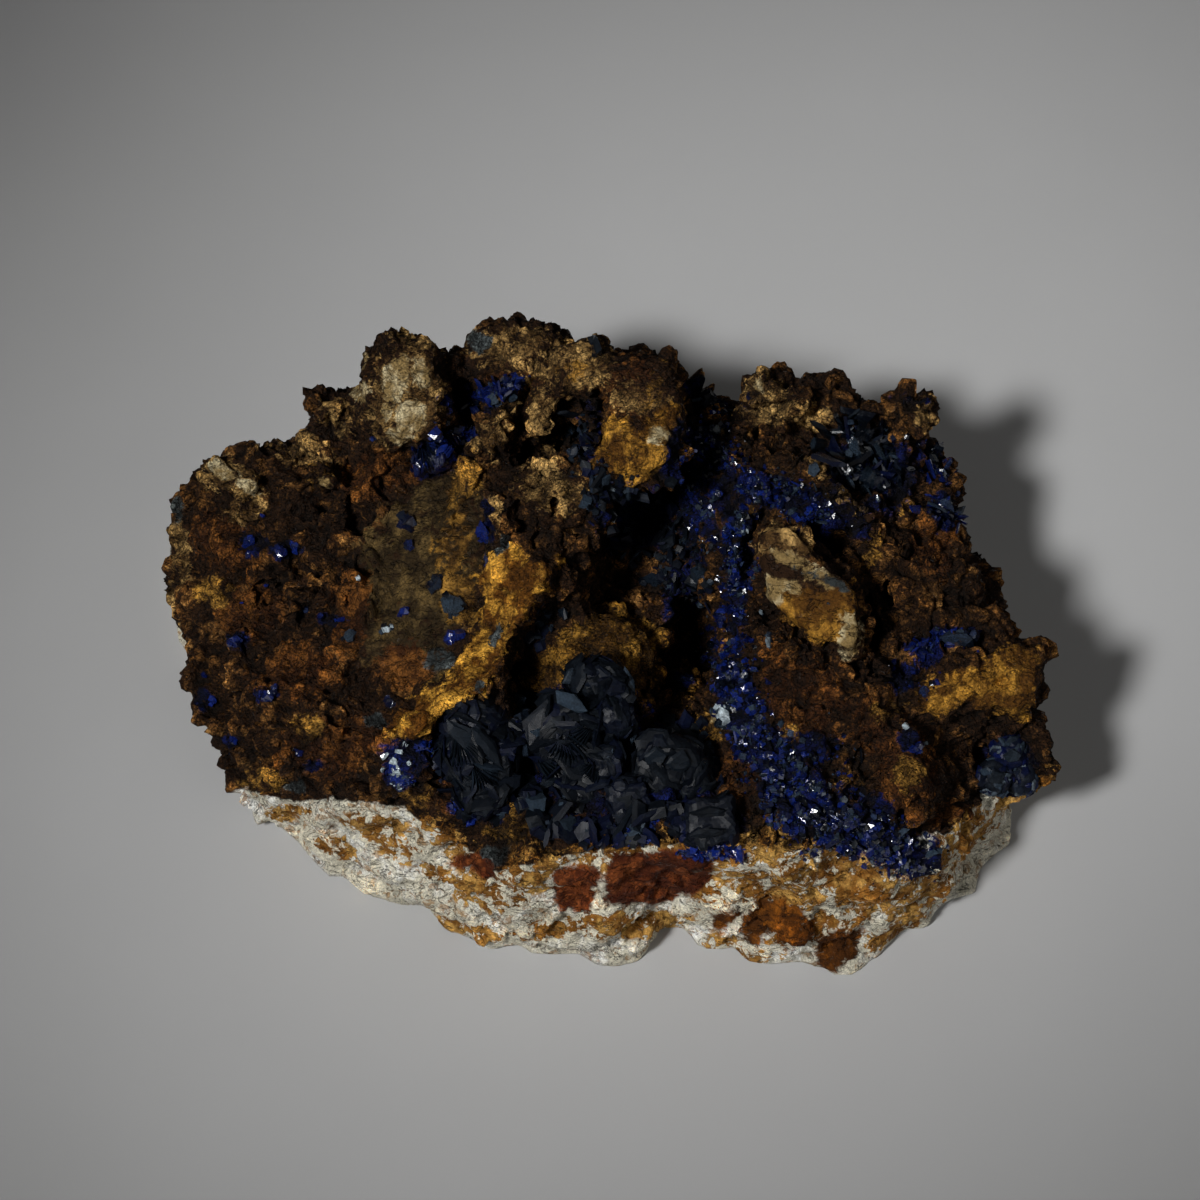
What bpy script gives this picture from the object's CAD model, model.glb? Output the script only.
# Azurite specimen: dark blue crystal roses and crusts on brown ironstone with a pale host-rock back.
# Places on the face are in millimetres as the display side sees them, which looks down at viewAngle:
# across, up and, where there is a third number, towards the display side.
import random
from math import cos, radians, sin

import bmesh
import bpy
import numpy as np
from mathutils import Matrix, Vector, noise
from mathutils.bvhtree import BVHTree


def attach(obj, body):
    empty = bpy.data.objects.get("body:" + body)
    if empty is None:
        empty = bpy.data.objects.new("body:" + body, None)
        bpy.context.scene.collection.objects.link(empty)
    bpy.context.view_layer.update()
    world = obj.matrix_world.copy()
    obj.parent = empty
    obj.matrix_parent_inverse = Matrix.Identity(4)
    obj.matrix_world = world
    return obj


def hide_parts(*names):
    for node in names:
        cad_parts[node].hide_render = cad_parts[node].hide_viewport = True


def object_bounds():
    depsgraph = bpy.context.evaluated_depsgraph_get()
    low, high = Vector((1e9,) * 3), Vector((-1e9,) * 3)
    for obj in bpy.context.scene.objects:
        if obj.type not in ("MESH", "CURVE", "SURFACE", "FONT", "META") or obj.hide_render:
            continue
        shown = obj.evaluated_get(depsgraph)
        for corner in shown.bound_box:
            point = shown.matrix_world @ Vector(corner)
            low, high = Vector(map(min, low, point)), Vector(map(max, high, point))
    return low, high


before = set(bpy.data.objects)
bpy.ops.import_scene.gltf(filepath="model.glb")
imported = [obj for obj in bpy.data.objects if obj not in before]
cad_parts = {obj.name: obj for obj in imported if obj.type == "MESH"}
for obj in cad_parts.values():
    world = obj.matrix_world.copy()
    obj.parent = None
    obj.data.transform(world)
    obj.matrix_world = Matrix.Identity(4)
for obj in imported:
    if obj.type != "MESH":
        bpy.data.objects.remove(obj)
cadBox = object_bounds()
noise.seed_set(5)  # noise_vector differs from run to run without it

mm = 0.001
viewAngle = radians(60)
faceMiddle = Vector((-0.55, -0.2, 0)) * mm  # the point of the ground at place (0, 0, 0)
toViewer = Vector((0, -cos(viewAngle), sin(viewAngle)))
rightward = Vector((1, 0, 0))
upward = Vector((0, sin(viewAngle), cos(viewAngle)))
display = np.array([rightward, upward, toViewer])
farOut = 120  # mm towards the display side, beyond every piece


def seenFrom(points):
    # each point's (across, up, towards) in mm
    return (points - np.array(faceMiddle)) / mm @ display.T


def placeAt(across, up, towards):
    return faceMiddle + (rightward * across + upward * up + toViewer * towards) * mm


def turnedTo(turn):
    # the way along the display side at this turn in degrees
    return rightward * cos(radians(turn)) + upward * sin(radians(turn))


def smooth(low, high, values):
    share = np.clip((values - low) / (high - low), 0, 1)
    return share * share * (3 - 2 * share)


def rowsOf(items, name):
    flat = np.empty(len(items) * 3, np.float32)
    items.foreach_get(name, flat)
    return flat.reshape(-1, 3).astype(float)


def coordsOf(mesh):
    return rowsOf(mesh.vertices, "co")


def normalsOf(mesh):
    return rowsOf(mesh.vertex_normals, "vector")


def setCoords(mesh, points):
    mesh.vertices.foreach_set("co", points.astype(np.float32).ravel())
    mesh.update()


def paint(mesh, name, values):
    layer = mesh.attributes.new(name, "FLOAT", "POINT")
    layer.data.foreach_set("value", np.asarray(values, np.float32))


def pieceFrom(bm, name):
    mesh = bpy.data.meshes.new(name)
    bm.to_mesh(mesh)
    bm.free()
    piece = bpy.data.objects.new(name, mesh)
    bpy.context.scene.collection.objects.link(piece)
    return piece


def applied(piece, kind, **settings):
    modifier = piece.modifiers.new(kind, kind)
    for key, value in settings.items():
        setattr(modifier, key, value)
    bpy.context.view_layer.update()
    graph = bpy.context.evaluated_depsgraph_get()
    old = piece.data
    piece.data = bpy.data.meshes.new_from_object(piece.evaluated_get(graph))
    piece.modifiers.clear()
    bpy.data.meshes.remove(old)


def trianglesOf(piece):
    return sum(len(face.vertices) - 2 for face in piece.data.polygons)


def spots(seen, places):
    # how strongly each point lies in any of the spots, 0 to 1
    most = np.zeros(len(seen))
    for across, up, halfAcross, halfUp, *turn in places:
        angle = radians(turn[0]) if turn else 0
        c, s = cos(angle), sin(angle)
        a, b = seen[:, 0] - across, seen[:, 1] - up
        reach = np.hypot((a * c + b * s) / halfAcross, (b * c - a * s) / halfUp)
        most = np.maximum(most, 1 - smooth(0.55, 1.25, reach))
    return most


def awayFromLine(seen, line):
    # each point's distance in mm from a line of places
    nearest = np.full(len(seen), 1e9)
    for start, end in zip(line, line[1:]):
        start = np.array(start, float)
        step = np.array(end, float) - start
        t = np.clip(((seen[:, :2] - start) @ step) / (step @ step), 0, 1)
        nearest = np.minimum(nearest, np.linalg.norm(seen[:, :2] - start - t[:, None] * step, axis=1))
    return nearest


def within(seen, outline):
    # how far in mm each point lies inside an outline of places, and below 0 outside it
    ring = list(outline) + [outline[0]]
    inside = np.zeros(len(seen), bool)
    for (a0, b0), (a1, b1) in zip(ring, ring[1:]):
        if b0 != b1:
            crosses = (b0 > seen[:, 1]) != (b1 > seen[:, 1])
            inside ^= crosses & (seen[:, 0] < a0 + (seen[:, 1] - b0) * (a1 - a0) / (b1 - b0))
    away = awayFromLine(seen, ring)
    return np.where(inside, away, -away)


def fractal(points, size, octaves=4, seed=0.0):
    # smooth noise of this size in mm, about -1 to 1
    offset = Vector((seed * 7.3, seed * 3.1, seed * 5.7))
    scale = 1 / (size * mm)
    return np.array([noise.fractal(Vector(p) * scale + offset, 0.9, 2.1, octaves) for p in points])


def nodules(points, size, seed=0.0, warp=0.4):
    # rounded bumps with sharp creases between them, 0 in the creases and 1 on the tops, and a number for each bump
    offset = Vector((seed * 2.3, seed * 9.1, seed * 4.7))
    scale = 1 / (size * mm)
    heights, numbers = [], []
    for p in points:
        where = Vector(p) * scale + offset
        where += noise.noise_vector(where * 1.3) * warp
        reach, middles = noise.voronoi(where)
        heights.append(reach[1] - reach[0])
        numbers.append(noise.cell(middles[0] * 5.3))
    heights = np.clip(np.array(heights) / 0.55, 0, 1)
    return 1 - (1 - heights) ** 2, np.array(numbers)


def facets(points, size, seed=0.0):
    # flat chips that meet in steps, about -1 to 1
    offset = Vector((seed * 5.3, seed * 1.1, seed * 8.7))
    scale = 1 / (size * mm)
    half = Vector((0.5, 0.5, 0.5))
    found = []
    for p in points:
        where = Vector(p) * scale + offset
        where += noise.noise_vector(where * 0.8) * 0.3
        middle = noise.voronoi(where)[1][0]
        lean = noise.cell_vector(middle * 3.7) - half
        found.append((where - middle).dot(lean) * 1.9 + 0.5 * lean.x)
    return np.array(found)


# The rock. Its outlines are rings of places (across, up), and its spots are (across, up, half across, half up) with a
# turn in degrees where there is one.
clastOutline = [
    (18.8, 21.5), (20.5, 22.8), (23.2, 22.8), (25.6, 20.2), (28.6, 16.8), (31, 14.8), (31.5, 11), (31.7, 7.8),
    (30.6, 6.6), (27.4, 7.8), (22.4, 11.3), (20.2, 13.2), (19.2, 17.4),
]
ledgeOutline = [
    (-10.8, 19.9), (-7.8, 18.3), (-4.5, 18.4), (-7.6, 13.4), (-10.1, 9.6), (-11.6, 5.9), (-13.6, 1.9), (-16.4, 1.2),
    (-19.6, -0.4), (-20.4, -3.5), (-23.2, -3.9), (-25.4, -3.2), (-25.6, -0.6), (-22.6, 1.7), (-18.9, 3.6),
    (-16.6, 7.1), (-15.1, 10.9), (-14.2, 14), (-15.4, 16.5), (-13.4, 19),
]
noseOutline = [
    (-1.4, 36.1), (-0.1, 35.3), (1.8, 35.9), (4.9, 35.3), (7.4, 37.1), (10.5, 38), (9.2, 34.6), (8.2, 29.9),
    (5.5, 27.6), (3.9, 27), (1.4, 28), (-0.8, 30.5), (-1.8, 33.4),
]
rock = {
    "firstVoxel": 0.6,
    "voxel": 0.36,
    "triangles": 197000,
    "headroom": 2.2,  # how far under the object's own top its points begin to be held down, and how softly
    "headSoftness": 2.4,
    "lumps": {"size": 4.8, "rise": 1.9, "sunk": 1.1},
    "beads": {"size": 2.0, "rise": 0.8, "sunk": 0.35, "pitted": 0.2, "pitDepth": 1.1, "holes": 0.88, "paleHoles": 0.86},
    "grains": {"size": 0.95, "rise": 0.26},
    "chips": {"size": 4.6, "rise": 0.85},
    "smallChips": {"size": 1.7, "rise": 0.4},
    "roughness": {"size": 0.9, "rise": 0.06},
    "wander": {"size": 7, "smallSize": 1.8},  # how the edges between kinds of rock stray
    "slabs": [  # (outline, from, to, taper, slope across, slope up)
        (clastOutline, 24, 35.4, 0.93, 0.08, -0.10),
    ],
    "blocks": [  # (across, up, towards), half sizes the same way, turn, squareness
        ((4.6, 36, 24), (5.7, 8, 5.2), 8, 4),  # hanging boulder
        ((4, 31.8, 27.4), (5.3, 4.7, 4), -4, 2.6),  # its rounded nose
        ((-2, 42, 22), (3.9, 3.2, 2.8), 20, 5),  # slab beside the boulder
        ((-23.5, 39.4, 14.6), (4.6, 6.2, 5.4), 8, 4),  # top left knob
        ((-5, 24.5, 25.4), (5.6, 6, 4), 20, 3),  # porous lump
        ((-1.4, 5, 21), (8, 7.2, 4.2), -8, 2.6),  # inner mound
        ((-7, 37.3, 20.6), (1.8, 3.7, 2.2), 4, 2.4),  # hanging nodules
        ((-11.4, 38.4, 19), (1.4, 2.4, 1.8), 0, 2),
        ((-13.6, 33.4, 19.6), (2.6, 2.6, 2.4), 20, 2.2),
        ((-12.4, 35.8, 20.6), (1.3, 1.4, 1.6), 0, 2),
        ((50, 3.9, 26.6), (4.1, 4.6, 4.2), -12, 4),  # ochre knob on the right
        ((-34.9, 28.7, 11.2), (2, 2, 2.2), 0, 2),  # pale nodule on the left
        ((-47.6, 29.4, 2.4), (2.6, 1.8, 2), -30, 3),  # pale nodules of the left rim
        ((-44.4, 28, 4.4), (1.7, 1.4, 1.7), 10, 3),
        ((20, 39.5, 15), (2.2, 2.2, 2.4), 20, 3),  # nodules of the top right
        ((24.6, 38.4, 15.4), (2, 1.8, 2), 0, 2.6),
        ((21.4, 34.6, 18), (1.5, 1.3, 1.5), 0, 2),
        ((17.6, 33.8, 17), (1.3, 1.3, 1.4), 0, 2),
        ((38.6, 36.4, 15.4), (2.6, 3, 2.4), -20, 4),
        ((33.5, 5, 33.5), (1.6, 1.6, 1.6), 0, 2),
    ],
    "contact": [  # where the brown rock ends above the pale front wall
        (-60, -7), (-50, -9), (-44, -10.4), (-37.6, -11.2), (-32, -11), (-25, -12), (-20, -14.5), (-16.4, -18),
        (-12.4, -19.6), (-8, -18.2), (-3, -17.2), (5, -16.4), (12.4, -16.8), (20, -16.2), (25, -16.6), (33.6, -17.2),
        (40.5, -19), (44, -15.8), (47.6, -13), (50, -11.6), (60, -8),
    ],
    "contactHeights": [  # the same contact round the sides: (degrees round from +X, height)
        (-180, 0), (-165, 0.5), (-150, 3), (-138, 8), (-125, 18), (-90, 24), (-50, 24), (-25, 15), (0, 11), (40, 13),
        (80, 17), (120, 14), (150, 4), (180, 0),
    ],
    "face": [(4, 10, 22, 26)],  # inside this spot there is none of the pale rock
    "plate": [
        (-29.6, 20.3), (-27, 23.4), (-24.8, 26.1), (-21.4, 27.8), (-17.4, 28.5), (-15.4, 25.9), (-14.5, 20.9),
        (-15.1, 15.9), (-16.4, 10.9), (-18.3, 7.1), (-20.1, 4.4), (-24.5, 4.9), (-28.6, 6.5), (-29.9, 10.9),
        (-29.1, 15.9),
    ],
    "plateLevel": {"at": (-23, 16), "towards": 20.6, "slope": (0.35, -0.5), "share": 0.9},
    "ledgeRise": 1.3,
    "calm": [  # spots where the rock is less knobbly
        (-10, 43.6, 8, 4), (-24, 39.6, 5, 6.6), (4.6, 35.6, 6, 8.6, 8), (-2, 42, 4, 3.4, 20), (-7, 37.3, 2, 4),
        (-49, 16, 5, 12, 10), (-44, 29, 8, 3.4, -25), (-22, 12, 9, 16), (50, 4, 5, 5), (-1, 5, 9, 8), (40, -6, 6, 6),
    ],
    "carved": [  # a spot, and how far it goes in
        ((-17.2, 38, 2.3, 2.4), 6),  # black hollow right of the knob
        ((-5.5, 31.9, 5.4, 1.7, 8), 7),  # under the hanging nodules
        ((-0.6, 35.4, 1.3, 4.6, -8), 6),  # left of the boulder
        ((12.2, 9.4, 3.4, 5.6), 6),  # the hole right of the inner mound
        ((27.6, 20.6, 1.7, 2.9, 40), 6.5),  # beside the clast
        ((32.8, 9.4, 1.1, 5.6), 6),
        ((18, 18.4, 0.7, 4.4), 2.6),
        ((24, 9, 4.6, 0.6, -38), 2.4),
        ((-10, 23.4, 1, 2.6, 8), 4),  # holes of the porous lump
        ((-5.4, 24.6, 0.9, 1), 2.2), ((-3, 21.4, 0.8, 0.9), 2), ((-7.4, 20.4, 0.9, 0.6), 1.6),
        ((-31.6, 29.6, 1.5, 1.8), 4),  # behind the pale nodule
        ((-36.5, 30.4, 2.6, 1.2, 10), 3), ((-33.6, 25.2, 1.7, 1.6), 3), ((-29.2, 17.4, 1, 2.4, 10), 3),
        ((-31.2, 13.4, 0.9, 1.4), 3), ((-36.4, 16.6, 2.4, 0.9, -28), 2.4), ((-30.6, 24, 1, 2.6, 10), 3.4),
        ((-42, 14.2, 1.2, 1.2), 2), ((-36.6, 11.4, 1, 1), 2), ((-26.6, 12.4, 0.8, 2, -30), 1.6),
        ((48.9, 3.4, 0.8, 0.8), 2), ((47, -6, 1.5, 2, 20), 4), ((34.4, 33.4, 2.8, 2.6), 3),
        ((41.6, 31, 1.8, 2.2), 3), ((36, 12.6, 1, 3.6, 10), 2.6), ((22, -3.6, 0.8, 2.4, 10), 2),
        ((30.6, -9.6, 1.2, 1), 2), ((36.6, -12.8, 1, 1.4), 2.4), ((44.4, -5, 1.4, 1.4), 2),
        ((-23.4, -15.4, 1.5, 0.9), 2), ((-33, -15, 1.2, 0.7, 20), 1.2), ((4, -27.4, 1.4, 1.2, 10), 1.4),
        ((38, -24, 1.6, 0.8, -20), 1.4), ((-9.2, -8, 1, 3.4), 4), ((5.2, -9, 1, 1.8), 3),
    ],
    "ridges": [  # a line of places, half width, how far it stands
        ([(-6, 18), (-9.6, 10.4), (-12.6, 4.8), (-17.2, 1.6), (-24, -2.2)], 1.5, 1.3),
        ([(23.6, 31.5), (28, 28.8), (32.6, 23.6), (33, 20.3)], 0.9, 2),
        ([(17.4, 23), (16.9, 17), (18.3, 12), (21, 9.4), (27, 5.6), (32, 3.2)], 0.7, 1.6),
        ([(6.9, 6.5), (6.4, 2.6), (4.9, -1.6)], 0.6, 1.8),
        ([(-15.9, 31), (-17, 26.5), (-19.2, 22.5)], 1, 1.4),
        ([(-17.8, 44.4), (-19, 39.6), (-20.6, 35.6)], 0.8, 1.2),
        ([(36.6, 33.4), (38.4, 28.4), (37.4, 24.4)], 1.1, 1.6),
        ([(-29.2, 20.4), (-27.6, 16.6), (-29.4, 11)], 0.8, 1.4),
    ],
    "outlines": {
        "gold": [ledgeOutline],
        "honey": [
            [(-0.1, 13), (4, 12.6), (7.5, 9.9), (7.6, 6.4), (6.6, 2.5), (5.3, -1.3), (2, -4), (-8, -3), (-10.5, 0.9),
             (-9.9, 4.1), (-7.4, 7.9), (-2.9, 9.9)],
        ],
        "ochre": [
            noseOutline,
            [(46.8, 5.9), (49.9, 8), (52.6, 8.4), (53.6, 5.9), (53, 0.9), (51.1, -1.4), (48, -1), (44.9, 0.9),
             (41.1, -1), (38, 0.9), (39.9, 3.4), (43, 4.9)],
            [(20.4, 14.6), (24, 15.2), (30.2, 15.4), (30.8, 12), (29.6, 8.2), (27.4, 7.8), (22.4, 11.3)],
        ],
        "cream": [
            [(29.6, 11.6), (31.4, 11), (31.7, 7.8), (30.6, 6.6), (28.8, 7.6)],
        ],
        "brick": [
            [(-6, -20.1), (-4.5, -18.9), (-0.1, -18.5), (-0.3, -23.5), (-1.4, -24.8), (-5.1, -24.1)],
            [(1.4, -17.3), (7.4, -16.5), (13.9, -17.3), (13.6, -21), (11.1, -22.6), (6.1, -23.9), (0.9, -23.9),
             (0.4, -21.4)],
            [(-18.3, -17.9), (-15.1, -17.3), (-12.6, -19.1), (-12.6, -20.6), (-15.8, -20.1), (-18.3, -18.9)],
        ],
        "umber": [
            [(17.1, -24.8), (20.5, -23.1), (24.9, -24.1), (26.4, -26), (25.5, -29.1), (23.6, -30.1), (21.4, -28.2),
             (18, -28.9)],
            [(26.4, -27.9), (29.3, -26.6), (32.6, -27.6), (31.8, -31), (29.3, -32.9), (26.8, -31.9)],
            [(13.4, -25.4), (14.8, -23.8), (17, -24), (16.4, -26.4), (14.2, -26.8)],
        ],
    },
    "patches": {
        "rust": [
            (-44, 12, 5, 4), (-38, 4, 6, 4, 10), (-34, -5, 6, 4, 10), (-31, 12, 3, 6), (-47, 21, 5, 4, -30),
            (-28, 29, 5, 3, 10), (-24, 5.4, 4, 3, 20), (-18, -9, 6, 3), (-27, -2.6, 5, 2.4), (-3, -14, 6, 2.6),
            (24, 2, 6, 5, -20), (34, -2, 4, 5), (37, -8, 4, 6, 10), (26, -3.6, 3, 3), (21, 5, 2, 4), (41, 20, 3, 4),
            (-10, 40.6, 6, 1.6), (44, -13, 4, 2), (17, -8, 3, 4), (4, 40, 4, 5, 8),
        ],
        "tan": [
            (22.4, 20.4, 3.6, 2.6, -10), (-10, 44.4, 7, 3.4), (-24.2, 39.6, 5, 7.4, -8), (5, 39, 4, 3),
            (-4, 41.4, 5, 3, 10), (-47, 29, 5, 2.4, -25), (-53.6, 20, 1.6, 5, 12), (-54.6, 12, 1.2, 5, 6),
            (-39, 33, 6, 2.4, -24), (-45, 25, 3, 2), (-7, 36, 2, 4.4), (-11.4, 38, 1.6, 2.6), (-13.6, 33.4, 2.8, 3),
            (-2, 43, 4, 3, 20), (20, 38.4, 4, 3.4), (24.6, 36, 4, 2.4), (27, 30, 2.4, 1.6, -45), (-6, 27, 5, 3, -20),
            (30.6, 24.8, 3.2, 1, -52), (-32.6, 36.6, 3, 2.4, -20), (40.8, 36.4, 1.8, 2.6), (-13.6, 24, 1.6, 3),
        ],
        "streak": [
            (-34.9, 28.7, 1.8, 1.8), (-16.9, 27.4, 1.8, 4.6, -14), (-18.2, 20.4, 2.4, 4.4, -10), (-17, 13.4, 2.4, 4),
            (-36.4, -2.4, 2, 1.8), (-22, -9.6, 2.4, 3.4), (-11.4, -13.6, 2.8, 3.2), (-2.4, -15, 2.6, 1.6),
            (18.4, 24.8, 0.6, 2.6, 24), (23.8, -5, 2.2, 3, 10), (30, -9, 2.4, 2), (35, 0, 2.4, 1.6),
            (37.4, -7.4, 2.2, 2.6), (33.6, 19.6, 0.9, 2.2, -14), (10.5, 3, 1.8, 2.6), (7, 40, 1.6, 3.6, -20),
            (13.8, -1.8, 2.6, 1.8), (-48.4, 14.4, 2.4, 2), (-42, -9, 3, 1.6), (38, 26.8, 1.6, 3, -10),
            (22, -11.6, 1.8, 2.4), (-3.6, 41.6, 2.2, 1.2),
        ],
        "cream": [
            (-47.4, 29.6, 2.6, 1.2, -20), (-44.4, 27.8, 1.8, 1, -20), (-34.3, 28, 1, 0.9),
            (24.6, 17.6, 4.8, 1.1, -24), (22.4, 15.2, 2.6, 0.9, -14), (21, 13.9, 1, 1.2), (26.4, 15.6, 2.6, 0.7, -30),
            (-25.2, 40.8, 1.9, 3.8, -16), (-23.4, 36, 1.9, 2.2, -10), (-22, 41.4, 1.2, 2.2, 10),
            (-26.4, 36.6, 0.8, 1.2), (-29.6, 43, 0.9, 1.4), (-30, 39.4, 1.6, 1.6), (7.2, 33.6, 1.8, 1.3),
            (14.6, 34.8, 1.2, 1), (-24.8, 33.6, 1.8, 1.4), (19.6, 40, 1, 1.2), (14.6, -0.8, 1.4, 1),
        ],
        "stain": [
            (-27.4, -14.4, 4.4, 1.5, -8), (-24, -17.6, 4, 1.4, -24), (-14, -22.6, 5, 2, -12),
            (-9.6, -19.8, 4.4, 2.2, -10), (3, -26.4, 8, 1.8), (-6, -27, 5, 1.4, 8), (27, -18.6, 12, 1.8, -3),
            (20, -21.6, 4, 2.4), (33, -23.4, 6, 3, 16), (40, -20.4, 4, 2.4, 20), (-38.6, -13, 3, 1, 10),
            (13, -21, 2.4, 3.6), (46, -15.6, 3.6, 2.2, 30), (17.6, -30.6, 5, 1.2), (-20, -20, 3, 1.2, -30),
            (29, -25, 4, 1.6, 30), (24, -27.6, 4.4, 1.6), (36, -27.4, 4.4, 1.6, 30), (42, -17.4, 5, 1.8, 20),
            (14.6, -28.6, 2.4, 1.2), (29, -21.8, 8, 2.6, 12), (39, -23.4, 5, 2.4, 34), (19.6, -20.6, 6, 1.8),
            (-33, -17.4, 3, 1.2, -30), (24.6, -21.4, 6, 1.6, -6), (-1.4, -21, 1, 4), (-16, -27, 4, 1, -10),
        ],
        "slate": [
            (-12.9, -17.6, 1.9, 1.8), (-13, 9.2, 0.8, 1.4), (-14.7, 3, 0.8, 1.1), (-19.6, 6.4, 2, 1.5),
            (-55, 26, 1.6, 3.4, 24), (-27.6, -1.4, 1.6, 1.2), (25.6, 16.4, 4, 0.55, -26), (28.4, 15.6, 2.2, 0.6, -30),
            (-37.4, -9.6, 1.4, 1), (-12, 20, 1, 1.4), (-15, 45.4, 1.6, 1.4),
        ],
        "blue": [
            (-15, 38.4, 5.4, 1.8, 10), (-20.4, 31.2, 3.2, 2.2, 30), (-14, 23.4, 0.8, 3.2, 8), (-43.6, 20.6, 2.2, 1.4),
            (-39.2, 19.8, 2.6, 1.4, 10), (-33.4, 11, 1.8, 1), (-45.4, 8.4, 1.6, 1.2), (-41, 1.6, 2, 1.2),
            (34, 29, 6, 5), (41.4, 31, 2.4, 2.6), (42.6, 24.2, 2.4, 2.4), (27.6, 21, 3, 1.4, -40), (32, 22, 1.6, 1.6),
            (-15, -12, 3.6, 1.6, -20), (-23.4, -6.6, 3.2, 3.4), (50, -7, 3.8, 4), (39.4, 7, 2.6, 1.6, -20),
            (36.6, 4, 2, 2), (43.4, 8.8, 3, 1.4), (26, -4.6, 3, 2.4), (31, -12, 5, 3.4, -20), (37.4, -3.6, 1.4, 1.6),
            (9.6, 3.4, 1.8, 1.8), (12, 24, 3, 7), (4.6, 23.6, 6, 4), (-1.4, -5, 9, 9), (-14.6, -6, 5, 6.6),
            (8, -8, 6, 5), (13.4, -13.4, 4, 3), (3.4, -11.6, 4, 3.4), (-1.6, 34, 1.6, 4), (14, 40, 5, 2, -20),
            (10, 31, 2, 5, -14), (-35.4, -7, 1.4, 1), (-50, 1, 1, 1.6), (-46.8, -4.4, 1, 1.4),
            (39, 38.6, 3.4, 0.8, -4), (10, 14, 2.6, 4),
        ],
    },
    "blueBand": [  # a line of places and its half width
        ([(13.4, 34), (15, 29), (16.6, 24), (17, 17), (15.8, 11), (15.6, 6), (16.8, 0)], 1.5),
        ([(16.8, 2), (18.6, -3), (22, -7), (27, -12), (32, -14.4), (38.6, -18)], 2.6),
        ([(17.6, 27.4), (23, 26.4), (28.6, 22.6)], 1.9), ([(20.6, -9), (24, -13.4), (31, -15.8)], 1.7),
    ],
}


def addBlock(bm, place, halfSizes, turn, squareness):
    middle = placeAt(*place)
    turning = Matrix.Rotation(radians(turn), 3, "Z")
    made = bmesh.ops.create_icosphere(bm, subdivisions=4, radius=1.0)["verts"]
    for vert in made:
        swell = sum(abs(part) ** squareness for part in vert.co) ** (-1 / squareness)
        swell *= 1 + 0.1 * noise.noise(vert.co * 2.1 + middle / mm)
        local = turning @ Vector(a * b for a, b in zip(vert.co, halfSizes)) * swell
        vert.co = middle + (rightward * local.x + upward * local.y + toViewer * local.z) * mm
    return made


def addSlab(bm, outline, low, high, taper, slopeAcross, slopeUp):
    # a flat-topped block that stands on its outline
    a0, b0 = np.mean(outline, axis=0)
    foot = bm.faces.new([bm.verts.new(placeAt(a, b, low)) for a, b in outline])
    made = bmesh.ops.extrude_face_region(bm, geom=[foot])["geom"]
    for vert in (part for part in made if isinstance(part, bmesh.types.BMVert)):
        a, b, _ = seenFrom(np.array([vert.co]))[0]
        top = high + (a - a0) * slopeAcross + (b - b0) * slopeUp
        vert.co = placeAt(a0 + (a - a0) * taper, b0 + (b - b0) * taper, top)
    bmesh.ops.recalc_face_normals(bm, faces=list({face for vert in foot.verts for face in vert.link_faces} | {foot}))


def relieved(mesh):
    # the broad forms of the face: the smooth sloping plate, hollows and thin ridges
    points, normals = coordsOf(mesh), normalsOf(mesh)
    seen = seenFrom(points)
    facing = smooth(0.05, 0.35, normals @ np.array(toViewer))
    look = rock["plateLevel"]
    (across, up), (slopeAcross, slopeUp) = look["at"], look["slope"]
    level = look["towards"] + slopeAcross * (seen[:, 0] - across) + slopeUp * (seen[:, 1] - up)
    plate = smooth(-2.4, 0.6, within(seen, rock["plate"])) * facing
    push = (level - seen[:, 2]) * plate * look["share"]
    for spot, depth in rock["carved"]:
        push -= depth * smooth(0.0, 0.9, spots(seen, [spot])) * facing
    for line, halfWidth, rise in rock["ridges"]:
        push += rise * (1 - smooth(0.3, 1.5, awayFromLine(seen, line) / halfWidth)) * facing
    push += rock["ledgeRise"] * smooth(-0.8, 0.6, within(seen, ledgeOutline)) * facing
    setCoords(mesh, points + np.array(toViewer) * push[:, None] * mm)


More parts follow.
